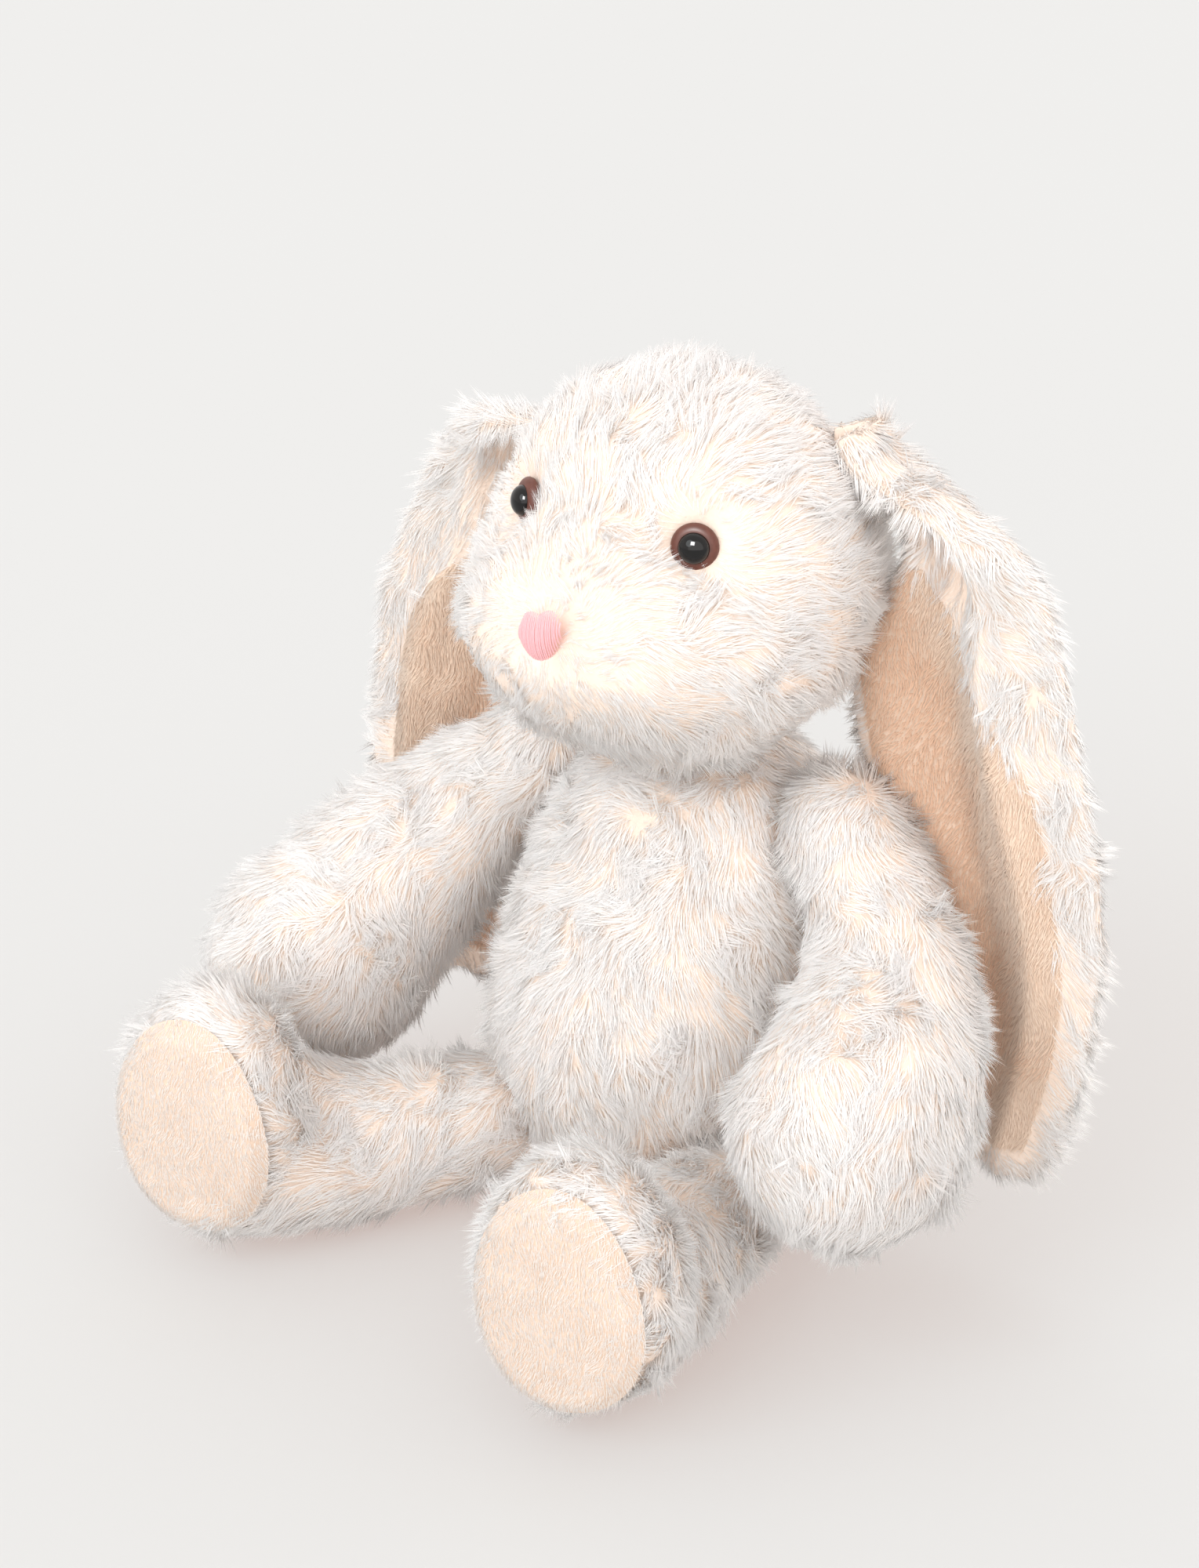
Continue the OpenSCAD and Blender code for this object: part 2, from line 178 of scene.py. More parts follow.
def wire(tree, kind, inputs=None, **props):
    """A new node with its properties and inputs set."""
    node = tree.nodes.new(kind)
    for key, value in props.items():
        setattr(node, key, value)
    feed(tree, node, inputs or {})
    return node


def ramp(tree, fac, stops):
    """A colour ramp over (place, colour) stops."""
    node = wire(tree, "ShaderNodeValToRGB", {"Fac": fac})
    band = node.color_ramp
    while len(band.elements) < len(stops):
        band.elements.new(0.5)
    for element, (place, colour) in zip(band.elements, stops):
        element.position = place
        element.color = (*colour, 1)
    return node.outputs["Color"]


def shade(base, factor, warm=0.0):
    """A colour made darker or lighter, and warmer where warm is above 0."""
    r, g, b = base
    return min(1, r * factor), min(1, g * factor * (1 - 0.35 * warm)), min(1, b * factor * (1 - 0.6 * warm))


def blend(a, b, share):
    """A colour between a and b, with the given share of b."""
    return tuple(x * (1 - share) + y * share for x, y in zip(a, b))


def surface(tree, shader, fac, dark, light, bump, **inputs):
    """Colour from dark to light by fac, with bump as (strength, depth, height)."""
    strength, depth, height = bump
    tone = ramp(tree, fac, [(0.3, dark), (0.7, light)])
    relief = wire(tree, "ShaderNodeBump", {"Strength": strength, "Distance": depth, "Height": height})
    feed(tree, shader, {"Base Color": tone, "Normal": relief.outputs["Normal"]})
    feed(tree, shader, {key.replace("_", " "): value for key, value in inputs.items()})


def strand_material(name, root, between, tip, rough, sheen, warm_tone_and_shade=(0.965, 0.925, 0.9)):
    """Pile whose colour runs from root to tip, with each tuft a little different; its warmest tint is also painted
    shade in crevices and folds.
    """
    material, tree, shader = new_material(name)
    uv = wire(tree, "ShaderNodeUVMap", uv_map="pile_map")
    split = wire(tree, "ShaderNodeSeparateXYZ", {0: uv.outputs["UV"]})
    along = ramp(tree, split.outputs["Y"], [(0.0, root), (0.3, between), (0.6, tip)])
    # The warmest end of the tint serves both random tone and painted shade where parts meet.
    tint = ramp(tree, split.outputs["X"], [(0.0, warm_tone_and_shade), (0.4, (0.99, 0.98, 0.97)), (1.0, (1, 1, 1))])
    mixed = wire(
        tree, "ShaderNodeMix", {"Factor": 1.0, 6: along, 7: tint}, data_type="RGBA", blend_type="MULTIPLY"
    )
    feed(
        tree,
        shader,
        {
            "Base Color": mixed.outputs[2],
            "Roughness": rough,
            "Sheen Weight": sheen,
            "Sheen Roughness": 0.5,
            "Specular IOR Level": 0.15,
        },
    )
    return material


def knit_material(name, base, cell, depth):
    """Knitted or woven cloth: fine loops with uneven colour."""
    material, tree, shader = new_material(name)
    place = wire(tree, "ShaderNodeTexCoord").outputs["Object"]
    loops = wire(tree, "ShaderNodeTexVoronoi", {"Vector": place, "Scale": 1 / cell})
    cloud = wire(tree, "ShaderNodeTexNoise", {"Vector": place, "Scale": 70.0, "Detail": 4.0})
    bump = (0.6, depth, loops.outputs["Distance"])
    fac = cloud.outputs["Fac"]
    surface(tree, shader, fac, shade(base, 0.9, 0.1), shade(base, 1.04), bump, Roughness=0.9, Sheen_Weight=0.3)
    return material


def floss_material(name, base):
    """Satin-stitched floss: fine upright fibres with a soft shine."""
    material, tree, shader = new_material(name)
    place = wire(tree, "ShaderNodeTexCoord").outputs["Object"]
    drawn = wire(tree, "ShaderNodeMapping", {"Vector": place, "Scale": (9000.0, 9000.0, 500.0)})
    fibres = wire(tree, "ShaderNodeTexNoise", {"Vector": drawn.outputs[0], "Scale": 1.0, "Detail": 2.0})
    fac = fibres.outputs["Fac"]
    bump = (0.5, 0.06 * MM, fac)
    surface(tree, shader, fac, shade(base, 0.86, 0.1), shade(base, 1.08), bump, Roughness=0.5, Sheen_Weight=0.3)
    return material


def plastic_material(name, base, rough, grain):
    """Moulded plastic with a faint surface grain."""
    material, tree, shader = new_material(name)
    place = wire(tree, "ShaderNodeTexCoord").outputs["Object"]
    fac = wire(tree, "ShaderNodeTexNoise", {"Vector": place, "Scale": 900.0, "Detail": 3.0}).outputs["Fac"]
    bump = (grain, 0.02 * MM, fac)
    surface(tree, shader, fac, shade(base, 0.85), shade(base, 1.15), bump, Roughness=rough, Specular_IOR_Level=0.4)
    return material


def make_materials():
    """Makes every finish."""
    colours = settings().rabbit_colours
    tip, root, velour = (tuple(c) for c in (colours.tip, colours.root, colours.velour))
    half, pale = blend(root, tip, 0.6), blend(velour, tip, 0.67)
    strand_material("plush pile", root, half, tip, 0.7, 0.25)
    nap = (0.75, 0.35)
    # Painted shade: each nap is a darker, warmer copy of its colour at the roots and a lighter one at the tips.
    strand_material("sole nap", shade(pale, 0.9, 0.12), shade(pale, 0.99, 0.03), shade(pale, 1.03), *nap)
    tones = shade(velour, 0.8, 0.25), shade(velour, 0.97, 0.05), shade(velour, 1.06)
    # The velour nap's warmest tint is the painted shade of the lining's fold by the cheek.
    strand_material("velour nap", *tones, *nap, (0.95, 0.8, 0.7))
    knit_material("plush backing", shade(root, 0.96), 1.1 * MM, 0.15 * MM)
    # Painted shade: the velour backing is a darker, warmer copy of the velour.
    knit_material("velour backing", shade(velour, 0.86, 0.15), 0.9 * MM, 0.12 * MM)
    knit_material("pellet bag", (0.8, 0.7, 0.55), 0.8 * MM, 0.1 * MM)
    knit_material("sewing thread", (0.9, 0.82, 0.74), 0.4 * MM, 0.08 * MM)
    floss_material("nose floss", tuple(colours.nose))
    plastic_material("eye rim", tuple(colours.eye_rim), 0.42, 0.35)
    plastic_material("eye black", (0.003, 0.0025, 0.0025), 0.06, 0.0)
    plastic_material("washer", (0.8, 0.8, 0.78), 0.45, 0.2)


def finish(piece, material, body, replaced=()):
    """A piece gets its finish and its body."""
    piece.data.materials.clear()
    piece.data.materials.append(bpy.data.materials[material])
    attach(piece, body)
    if replaced:
        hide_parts(*replaced)


# ---------------------------------------------------------------- mesh tools
def linked(name, data):
    """A new object in the scene."""
    item = bpy.data.objects.new(name, data)
    bpy.context.scene.collection.objects.link(item)
    return item


def smooth_faces(mesh):
    """Shades every face smooth."""
    mesh.polygons.foreach_set("use_smooth", [True] * len(mesh.polygons))


def new_piece(name, points, faces):
    """A mesh object with smooth faces."""
    mesh = bpy.data.meshes.new(name)
    mesh.from_pydata([tuple(p) for p in points], [], faces)
    smooth_faces(mesh)
    return linked(name, mesh)


def tube_faces(first, rows, around):
    """Faces of a tube of rings whose points start at first, with its first and last ring closed."""
    faces = []
    for i in range(rows - 1):
        for k in range(around):
            a, b = first + i * around + k, first + i * around + (k + 1) % around
            faces.append((a, b, b + around, a + around))
    last = first + (rows - 1) * around
    return faces + [tuple(range(first, first + around)), tuple(range(last, last + around))]


def applied(piece):
    """The piece with its modifiers made real."""
    graph = bpy.context.evaluated_depsgraph_get()
    mesh = bpy.data.meshes.new_from_object(piece.evaluated_get(graph))
    old = piece.data
    piece.modifiers.clear()
    piece.data = mesh
    mesh.name = piece.name
    bpy.data.meshes.remove(old)
    return piece


def read(items, key, width=1, kind=np.float32):
    """A value of every item as an array, in rows where each value has a width above 1."""
    values = np.empty(len(items) * width, kind)
    items.foreach_get(key, values)
    return values.reshape(-1, width) if width > 1 else values


def coords(piece):
    """A piece's points as an array."""
    return read(piece.data.vertices, "co", 3).astype(float)


def normals(piece):
    """A piece's point normals as an array."""
    return read(piece.data.vertices, "normal", 3).astype(float)


def set_coords(piece, co):
    """Moves a piece's points."""
    piece.data.vertices.foreach_set("co", co.astype(np.float32).ravel())
    piece.data.update()


CLOTH_STEPS = 12


def stuffed_form(name, node, voxel, swell, base_plane):
    """The stuffed shape of a CAD solid: remeshed, blown up by at most swell like sewn cloth, and smoothed."""
    source = bmesh.new()
    source.from_mesh(frame["nodes"][node].data)
    bmesh.ops.remove_doubles(source, verts=source.verts, dist=0.01 * MM)
    mesh = bpy.data.meshes.new(name)
    source.to_mesh(mesh)
    source.free()
    piece = linked(name, mesh)
    remesh = piece.modifiers.new("remesh", "REMESH")
    remesh.mode, remesh.voxel_size, remesh.use_smooth_shade = "VOXEL", voxel, True
    applied(piece)
    rest = coords(piece)
    cloth = piece.modifiers.new("cloth", "CLOTH")
    cloth.settings.use_pressure = True
    cloth.settings.uniform_pressure_force = 4.0
    cloth.settings.effector_weights.gravity = 0.0
    cloth.settings.quality = 4
    for step in range(1, CLOTH_STEPS + 1):
        bpy.context.scene.frame_set(step)
    applied(piece)
    bpy.context.scene.frame_set(1)
    moved = coords(piece) - rest
    far = np.linalg.norm(moved, axis=1, keepdims=True)
    set_coords(piece, rest + moved * np.minimum(1, swell / np.maximum(far, 1e-9)))
    soften = piece.modifiers.new("soften", "SMOOTH")
    soften.factor, soften.iterations = 0.6, 6
    finer = piece.modifiers.new("finer", "SUBSURF")
    finer.levels = finer.render_levels = 1
    applied(piece)
    co = coords(piece)
    co[:, 2] = np.maximum(co[:, 2], base_plane)
    set_coords(piece, co)
    return piece


def tree_of(piece):
    """A search tree of a piece's surface."""
    mesh = piece.data
    return BVHTree.FromPolygons([tuple(v.co) for v in mesh.vertices], [tuple(p.vertices) for p in mesh.polygons])


def depth_in(tree, points):
    """How far each point is outside (above 0) or inside (below 0) a closed surface."""
    out = np.empty(len(points))
    for i, p in enumerate(points):
        place, normal, _, dist = tree.find_nearest(Vector(p))
        out[i] = dist if (Vector(p) - place).dot(normal) >= 0 else -dist
    return out


def give(piece, name, values):
    """Stores an attribute on a piece's points."""
    kind = "FLOAT_VECTOR" if np.ndim(values) == 2 else "FLOAT"
    attribute = piece.data.attributes.new(name, kind, "POINT")
    attribute.data.foreach_set("vector" if kind == "FLOAT_VECTOR" else "value", np.asarray(values, np.float32).ravel())


# ---------------------------------------------------------------- pile
def tuft_mesh(name, strands, width, spread, gather, bend, seed):
    """A tuft of three-sided strands of length 1, from which the pile's length makes the real size."""
    rng = np.random.default_rng(seed)
    points, faces, uvs = [], [], []
    for _ in range(strands):
        angle, far = rng.uniform(0, 2 * math.pi), math.sqrt(rng.uniform()) * spread
        root = np.array([math.cos(angle) * far, math.sin(angle) * far, -0.08])
        x, y = (root[i] * gather + rng.normal(0, spread * 0.45) for i in (0, 1))
        tip = np.array([x, y, rng.uniform(0.7, 1.04)])
        first, turn, thick = len(points), rng.uniform(0, 2 * math.pi), rng.uniform(0.75, 1.2) * width / 2
        for k in range(3):
            angle = turn + k * 2 * math.pi / 3
            points.append(root + thick * np.array([math.cos(angle), math.sin(angle), 0]))
            faces.append((first + k, first + (k + 1) % 3, first + 3))
            uvs += [(0, 0), (1, 0), (0.5, 1)]
        points.append(tip + np.array([bend * rng.uniform(0.7, 1.3), 0, -0.12]))
    piece = new_piece(name, points, faces)
    layer = piece.data.uv_layers.new(name="strand")
    layer.data.foreach_set("uv", np.array(uvs, np.float32).ravel())
    piece.hide_render = True
    return piece


TUFT_STRANDS = 7
SOFTNESS = 0.75
PIECE_TRIANGLES = 185000
PILE_INPUTS = {
    "Tuft": "Object",
    "Tufts per area": "Float",
    "Length": "Float",
    "Lift": "Float",
    "Swirl": "Float",
    "Swirl size": "Float",
    "Parting": "Float",
    "Floor": "Float",
    "Seed": "Int",
    "Material": "Material",
}


def pile_tree():
    """The Geometry Nodes that plant tufts on a cloth, combed along its lie."""
    if "pile" in bpy.data.node_groups:
        return bpy.data.node_groups["pile"]
    tree = bpy.data.node_groups.new("pile", "GeometryNodeTree")
    tree.interface.new_socket("Geometry", in_out="INPUT", socket_type="NodeSocketGeometry")
    for name, kind in PILE_INPUTS.items():
        tree.interface.new_socket(name, in_out="INPUT", socket_type=f"NodeSocket{kind}")
    tree.interface.new_socket("Geometry", in_out="OUTPUT", socket_type="NodeSocketGeometry")
    given = tree.nodes.new("NodeGroupInput").outputs

    def math_node(op, a, b=0.0):
        return wire(tree, "ShaderNodeMath", {0: a, 1: b}, operation=op).outputs[0]

    def vec(op, a, b=None, scale=None):
        given_inputs = {0: a, 1: b, "Scale": scale}
        inputs = {key: value for key, value in given_inputs.items() if value is not None}
        node = wire(tree, "ShaderNodeVectorMath", inputs, operation=op)
        return node.outputs["Value" if op == "DOT_PRODUCT" else "Vector"]

    def named(name, kind):
        return wire(tree, "GeometryNodeInputNamedAttribute", {"Name": name}, data_type=kind).outputs["Attribute"]

    def chance(kind, low, high, shift):
        node = wire(tree, "FunctionNodeRandomValue", data_type=kind)
        ends = [s for s in node.inputs if s.enabled and s.name in ("Min", "Max")]
        ends[0].default_value, ends[1].default_value = low, high
        feed(tree, node, {"Seed": math_node("ADD", given["Seed"], float(shift))})
        return next(s for s in node.outputs if s.enabled)

    def store(geometry, key, value, kind, domain="POINT"):
        inputs = {"Geometry": geometry, "Name": key, "Value": value}
        node = wire(tree, "GeometryNodeStoreNamedAttribute", inputs, data_type=kind, domain=domain)
        return node.outputs["Geometry"]

    density = math_node("MULTIPLY", named("cover", "FLOAT"), given["Tufts per area"])
    ground = {"Mesh": given["Geometry"], "Density": density, "Seed": given["Seed"]}
    plant = wire(tree, "GeometryNodeDistributePointsOnFaces", ground)
    place = tree.nodes.new("GeometryNodeInputPosition").outputs[0]
    marked = store(plant.outputs["Points"], "out", plant.outputs["Normal"], "FLOAT_VECTOR")
    out = named("out", "FLOAT_VECTOR")

    def cloud(size, amount, offset):
        shifted = vec("ADD", place, (offset, offset * 0.7, -offset * 0.4))
        freq = math_node("DIVIDE", 1.0, size)
        texture = wire(tree, "ShaderNodeTexNoise", {"Vector": shifted, "Scale": freq, "Detail": 1.0})
        centred = vec("SUBTRACT", texture.outputs["Color"], (0.5, 0.5, 0.5))
        return vec("SCALE", centred, scale=math_node("MULTIPLY", amount, 2.0))

    big = cloud(given["Swirl size"], given["Swirl"], 1.37)
    small = cloud(math_node("MULTIPLY", given["Swirl size"], 0.36), given["Parting"], 4.2)
    stray = vec("SCALE", chance("FLOAT_VECTOR", (-1, -1, -1), (1, 1, 1), 3), scale=0.2)
    pull = vec("ADD", vec("ADD", named("lie", "FLOAT_VECTOR"), big), vec("ADD", small, stray))
    inward = vec("SCALE", out, scale=vec("DOT_PRODUCT", pull, out))
    comb = vec("SUBTRACT", pull, inward)
    stand = vec("ADD", vec("SCALE", out, scale=given["Lift"]), comb)
    aim = vec("NORMALIZE", stand)
    turn = wire(tree, "FunctionNodeAxesToRotation", {0: aim, 1: comb}, primary_axis="Z", secondary_axis="X")
    even = math_node("MULTIPLY", given["Length"], named("pile", "FLOAT"))
    long = math_node("MULTIPLY", even, chance("FLOAT", 0.78, 1.12, 5))
    tone = wire(tree, "ShaderNodeTexNoise", {"Vector": place, "Scale": 75.0, "Detail": 2.0}).outputs["Fac"]
    tint = math_node("ADD", math_node("MULTIPLY", tone, 0.9), chance("FLOAT", -0.2, 0.2, 7))
    # The painted shade attribute lowers the tint, which warms and darkens the pile there.
    shaded_tint = math_node("SUBTRACT", tint, named("warmth", "FLOAT"))
    tint = wire(tree, "ShaderNodeClamp", {"Value": shaded_tint, "Min": 0.02, "Max": 0.96}).outputs[0]
    marked = store(marked, "tint", tint, "FLOAT")
    tuft = wire(tree, "GeometryNodeObjectInfo", {"Object": given["Tuft"]}).outputs["Geometry"]
    planting = {"Points": marked, "Instance": tuft, "Rotation": turn.outputs[0], "Scale": long}
    sown = wire(tree, "GeometryNodeInstanceOnPoints", planting)
    real = wire(tree, "GeometryNodeRealizeInstances", {"Geometry": sown.outputs[0]}).outputs[0]
    split = wire(tree, "ShaderNodeSeparateXYZ", {0: place})
    floor = math_node("MAXIMUM", split.outputs["Z"], given["Floor"])
    grounded = {0: split.outputs["X"], 1: split.outputs["Y"], 2: floor}
    grounded = wire(tree, "ShaderNodeCombineXYZ", grounded).outputs[0]
    real = wire(tree, "GeometryNodeSetPosition", {"Geometry": real, "Position": grounded}).outputs[0]
    strand = wire(tree, "ShaderNodeSeparateXYZ", {0: named("strand", "FLOAT_VECTOR")})
    u = math_node("ADD", named("tint", "FLOAT"), math_node("MULTIPLY", strand.outputs["X"], 0.02))
    v = math_node("ADD", math_node("MULTIPLY", strand.outputs["Y"], 0.96), 0.02)
    chart = wire(tree, "ShaderNodeCombineXYZ", {0: u, 1: v}).outputs[0]
    for name in ("pile_map", "OFBake"):
        real = store(real, name, chart, "FLOAT2", "CORNER")
    for name in ("strand", "tint", "lie", "pile", "cover", "warmth"):
        real = wire(tree, "GeometryNodeRemoveAttribute", {"Geometry": real, "Name": name}).outputs["Geometry"]
    real = wire(tree, "GeometryNodeSetMaterial", {"Geometry": real, "Material": given["Material"]}).outputs[0]
    tree.links.new(real, tree.nodes.new("NodeGroupOutput").inputs["Geometry"])
    return tree


def grow_pile(name, cloth, body, slot, tuft, material, **sizes):
    """Plants pile on a cloth, in as many pieces as keep each one small."""
    cover = read(cloth.data.attributes["cover"].data, "value")
    sizes["floor"] = FLOOR_GAP
    area = sum(p.area * np.mean([cover[i] for i in p.vertices]) for p in cloth.data.polygons)
    each = sum(len(p.vertices) - 2 for p in bpy.data.objects[tuft].data.polygons)
    shares = math.ceil(area * sizes["tufts_per_area"] * each / PIECE_TRIANGLES)
    sizes["tufts_per_area"] /= shares
    for share in range(shares):
        sizes["seed"] += 100 * share
        piece = name if shares == 1 else f"{name}_{share + 1}"
        grow_piece(piece, cloth, body, tuft, material, sizes)


def soften(mesh):
    """Leans the strands' normals towards the cloth's, so that pile is lit softly, as loose fibres are."""
    out = read(mesh.attributes["out"].data, "vector", 3)
    mesh.attributes.remove(mesh.attributes["out"])
    corner = read(mesh.loops, "vertex_index", kind=np.int32)
    own = read(mesh.corner_normals, "vector", 3)
    face = np.repeat(read(mesh.polygons, "normal", 3), 3, axis=0)
    soft = unit(out[corner] * SOFTNESS + own * (1 - SOFTNESS))
    facing = (soft * face).sum(1, keepdims=True)
    soft = unit(soft + face * np.maximum(0, 0.15 - facing))
    mesh.normals_split_custom_set(soft)


def grow_piece(name, cloth, body, tuft, material, sizes):
    """Plants one piece of pile and makes it a plain mesh that rides on the body."""
    piece = linked(name, cloth.data.copy())
    modifier = piece.modifiers.new("pile", "NODES")
    modifier.node_group = pile_tree()
    items = modifier.node_group.interface.items_tree
    ids = {item.name: item.identifier for item in items if item.in_out == "INPUT"}
    modifier[ids["Tuft"]] = bpy.data.objects[tuft]
    modifier[ids["Material"]] = bpy.data.materials[material]
    for key, value in sizes.items():
        modifier[ids[key.replace("_", " ").capitalize()]] = value
    mesh = applied(piece).data
    if not len(mesh.polygons):
        raise RuntimeError(f"{name} grew no pile")
    smooth_faces(mesh)
    soften(mesh)
    finish(piece, material, body)


# ---------------------------------------------------------------- cloth forms
HINGES = {j["name"]: Vector(j["pos_m"]) for j in frame["joints"] if "pos_m" in j}
FORMS = {
    # voxel size of the remesh, and how far the cloth swells
    "body": (4.4 * MM, 3.0 * MM),
    "head": (4.0 * MM, 3.0 * MM),
    "tail": (2.6 * MM, 2.0 * MM),
    "left_arm": (3.2 * MM, 3.0 * MM),
    "right_arm": (3.2 * MM, 3.0 * MM),
    "left_leg": (3.4 * MM, 3.0 * MM),
    "right_leg": (3.4 * MM, 3.0 * MM),
}
TOUCHING = {part: ("body",) for part in FORMS}
TOUCHING["body"] = ("head", "tail", "left_arm", "right_arm", "left_leg", "right_leg")
FLOOR_GAP = 0.3 * MM


def cross_flow(direction, out):
    """The part of a direction that lies in the cloth, at length 1."""
    return unit(direction - out * np.sum(direction * out, axis=1, keepdims=True))


def down(count):
    """Straight down, once for each point."""
    return np.tile((0.0, 0.0, -1.0), (count, 1))


def lie_of(part, co, out):
    """The way the pile is combed on each part."""
    if part == "head":
        nose = np.array(middle("nose_stitching"))
        away = unit(co - nose)
        low = smooth((middle("head_skin").z - co[:, 2]) / (35 * MM))[:, None]
        lie = away + np.array([0, 0.25, -0.15]) + low * np.array([0, 0.1, -0.45])
        for side in SIDES:
            eye = np.array(middle(f"{side}_eye_flange"))
            near = np.exp(-((np.linalg.norm(co - eye, axis=1) / (13 * MM)) ** 2))[:, None]
            lie = lie * (1 - 0.8 * near) + unit(co - eye) * near * 1.5
        return cross_flow(lie, out)
    if part == "body":
        spread = np.stack([np.sign(co[:, 0]) * 0.3, np.zeros(len(co)), np.zeros(len(co))], axis=1)
        return cross_flow(down(len(co)) + spread * smooth(np.abs(co[:, 0:1]) / (30 * MM)), out)
    if part == "tail":
        return cross_flow(np.tile((0.0, 0.6, 1.0), (len(co), 1)), out)
    side = part.split("_")[0]
    if part.endswith("arm"):
        start = np.array(HINGES[f"{side}_shoulder"])
        return cross_flow(unit(co - start) + down(len(co)) * 0.4, out)
    start = np.array(HINGES[f"{side}_hip"])
    end = np.array(middle(f"{side}_foot_sole"))
    along = unit(end - start)
    rim = smooth(((co - start) @ along / np.linalg.norm(end - start) - 0.7) / 0.3)[:, None]
    return cross_flow(np.tile(along, (len(co), 1)) + (co - end) * rim * 8 + down(len(co)) * 0.45 * (1 - rim), out)


def sole_frame(side):
    """Centre, outward, upward and sideways axis of a sole, its half height, half width and how far it stands out."""
    points = node_points(f"{side}_foot_sole")
    centre = (points.min(0) + points.max(0)) / 2
    _, _, axes = np.linalg.svd(points - points.mean(0), full_matrices=False)
    face = axes[2] * (-1 if axes[2][1] > 0 else 1)
    up = np.array([0.0, 0.0, 1.0])
    up = unit(up - face * face[2])
    across = np.cross(up, face)
    local = points - centre
    return centre, face, up, across, np.abs(local @ up).max(), np.abs(local @ across).max(), (local @ face).max()


def make_form(part):
    """A stuffed cloth form, fuller where the pile stands thickest."""
    voxel, swell = FORMS[part]
    form = stuffed_form(f"{part}_cloth", f"{part}_filling", voxel, swell, FLOOR_GAP * 2)
    co, out = coords(form), normals(form)
    side = part.split("_")[0]
    if part.endswith("arm"):
        start = np.array(HINGES[f"{side}_shoulder"])
        along = smooth(np.linalg.norm(co - start, axis=1) / (75 * MM))
        puff = (2.5 + 7.0 * along) * MM
    elif part == "head":
        low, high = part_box("head_skin")
        beneath = smooth((high.z - 20 * MM - co[:, 2]) / (45 * MM))
        aside = smooth(np.abs(co[:, 0]) / (22 * MM))
        puff = (1.0 + 3.0 * beneath * aside) * (1 - 0.9 * np.maximum(0, -out[:, 2])) * MM
    elif part == "body":
        puff = np.full(len(co), 2.5 * MM)
    else:
        puff = np.full(len(co), 1.5 * MM)
    co += out * puff[:, None]
    if part == "right_arm":
        reach = smooth((np.linalg.norm(co - start, axis=1) / MM - 25) / 55)
        co += np.array([-5, -7, -6]) * MM * reach[:, None]
    co[:, 2] = np.maximum(co[:, 2], FLOOR_GAP * 2)
    set_coords(form, co)
    return form


def mark_form(part, forms, trees):
    """Stores on a form how the pile grows there, and the painted shade where it meets other parts."""
    form = forms[part]
    co, out = coords(form), normals(form)
    cover, pile, warmth = np.ones(len(co)), np.ones(len(co)), np.zeros(len(co))
    for other in TOUCHING[part]:
        gap = depth_in(trees[other], co)
        cover *= smooth((gap - 0.8 * MM) / (2.5 * MM))
        # Painted shade: the pile is tinted warmer and darker near the parts this one touches.
        warmth += 0.35 * (1 - smooth((gap - 2 * MM) / (12 * MM)))
    cover *= 1 - smooth((2.5 * MM - co[:, 2]) / (2 * MM)) * (out[:, 2] < -0.6)
    if part == "head":
        low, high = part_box("nose_stitching")
        nose, half = np.array(middle("nose_stitching")), np.array(high - low) / 2
        off = (co - nose) / np.array([half[0], 0.02, half[2]])
        far = np.linalg.norm(off[:, [0, 2]], axis=1) + np.abs(off[:, 1])
        cover *= smooth((far - 0.9) / 0.35)
        from_nose = np.linalg.norm(co - nose, axis=1)
        pile *= 0.5 + 0.5 * smooth((from_nose - 7 * MM) / (30 * MM))
        for side in SIDES:
            low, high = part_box(f"{side}_eye_flange")
            eye = np.array((low + high) / 2)
            gap = np.linalg.norm(co - eye, axis=1)
            cover *= smooth((gap - (high - low).z / 2 * 0.95) / (1.5 * MM))
            pile *= 0.55 + 0.45 * smooth((gap - 6 * MM) / (13 * MM))
    if part.endswith("leg"):
        centre, face, up, across, tall, wide, _ = sole_frame(part.split("_")[0])
        local = co - centre
        flat = np.hypot(local @ up / tall, local @ across / wide)
        ahead = local @ face
        cover *= 1 - (1 - smooth((flat - 0.84) / 0.1)) * smooth((ahead + 9 * MM) / (3 * MM))
    if part == "tail":
        pile *= 1.1
    give(form, "lie", lie_of(part, co, out))
    give(form, "pile", pile)
    give(form, "cover", cover)
    give(form, "warmth", warmth)


# ---------------------------------------------------------------- ears
def ear_slices(node, count):
    """Heights from the top down with the inner edge, outer edge and depth of an ear there."""
    mesh = frame["nodes"][node].data
    co = node_points(node)
    sign = 1 if co[:, 0].mean() > 0 else -1
    tris = np.array([p.vertices[:] for p in mesh.polygons])
    edges = np.concatenate([tris[:, [0, 1]], tris[:, [1, 2]], tris[:, [2, 0]]])
    a, b = co[edges[:, 0]], co[edges[:, 1]]
    top, low = co[:, 2].max(), co[:, 2].min()
    rows = []
    for k in range(count):
        z = top - (top - low) * (0.012 + 0.976 * k / (count - 1))
        cut = (a[:, 2] - z) * (b[:, 2] - z) < 0
        t = ((z - a[cut, 2]) / (b[cut, 2] - a[cut, 2]))[:, None]
        hit = a[cut] + (b[cut] - a[cut]) * t
        x = hit[:, 0] * sign
        rows.append((z, x.min(), x.max(), hit[:, 1].mean()))
    rows = np.array(rows)
    kernel = np.array([1, 2, 3, 2, 1]) / 9
    for column in (1, 2, 3):
        padded = np.pad(rows[:, column], 2, mode="edge")
        rows[:, column] = np.convolve(padded, kernel, mode="valid")
    return rows, sign


EAR_ROWS = 64
EAR_AROUND = 40
LINING_FROM, LINING_TO, LINING_TOP = 0.08, 0.79, 0.17
LINING_ACROSS = 26


